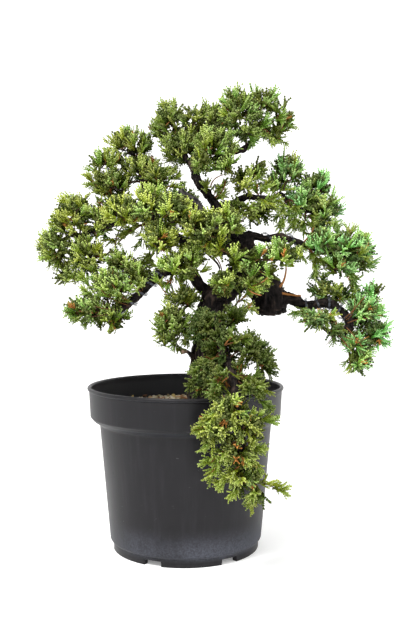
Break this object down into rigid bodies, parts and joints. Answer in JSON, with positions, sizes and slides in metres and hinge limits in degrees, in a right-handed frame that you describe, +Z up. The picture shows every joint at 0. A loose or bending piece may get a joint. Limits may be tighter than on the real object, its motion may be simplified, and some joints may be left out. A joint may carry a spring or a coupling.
{
  "type": "juniper bonsai in a pot",
  "caption": "Potted juniper bonsai: a crooked dark trunk with wired branches, clumps of short green needles and one falling branch, in a round black nursery pot.",
  "frame": {"origin": "on the pot's axis, at the flat underside that it stands on", "axes": "+Z up along the pot's axis; -Y is the front, where the branch falls over the rim; +X is to the right seen from the front"},
  "size_m": [0.459, 0.3018, 0.604],
  "materials": {
    "pot_plastic": "matte charcoal-black moulded plastic, chalky scuffs low down",
    "soil": "rough damp brown potting soil of composted bark and peat",
    "grit": "loose pale beige grit with rusty brown bark bits",
    "bark": "rough flaking near-black bark, orange-brown where young",
    "dead_wood": "weathered grey bare wood",
    "wire": "black anodised training wire with a soft blue-grey sheen",
    "foliage": "short pointed needles, olive to yellow-green, paler at the tips",
    "foliage_blue": "short pointed needles, cooler blue-green, paler at the tips"
  },
  "bodies": {
    "root": {"branch_back": "bark", "branch_back_left": "bark", "branch_back_low": "bark", "branch_cascade": "bark", "branch_crown_left": "bark", "branch_crown_right": "bark", "branch_left_high": "bark", "branch_left_low": "bark", "branch_left_mid": "bark", "branch_right_high": "bark", "branch_right_low": "bark", "branch_right_mid": "bark", "foliage_back_centre": "foliage", "foliage_back_left": "foliage", "foliage_back_low": "foliage", "foliage_cascade_front": "foliage", "foliage_cascade_upper": "foliage", "foliage_centre": "foliage", "foliage_centre_right": "foliage", "foliage_crown_centre": "foliage", "foliage_crown_left": "foliage", "foliage_crown_right": "foliage", "foliage_high_small": "foliage", "foliage_left_far": "foliage", "foliage_left_inner": "foliage", "foliage_left_low": "foliage", "foliage_left_mid": "foliage", "foliage_left_small": "foliage", "foliage_right_above": "foliage_blue", "foliage_right_high": "foliage_blue", "foliage_right_lower": "foliage_blue", "foliage_right_mid": "foliage_blue", "foliage_right_outer": "foliage_blue", "foliage_right_spray": "foliage_blue", "foliage_shoulder_left": "foliage", "foliage_under_right": "foliage", "grit_top_dressing": "grit", "pot": "pot_plastic", "snag_left": "dead_wood", "soil": "soil", "trunk": "bark", "twig_left": "bark", "wire_left_low": "wire", "wire_right_low": "wire", "wire_right_mid": "wire"}
  },
  "joints": []
}
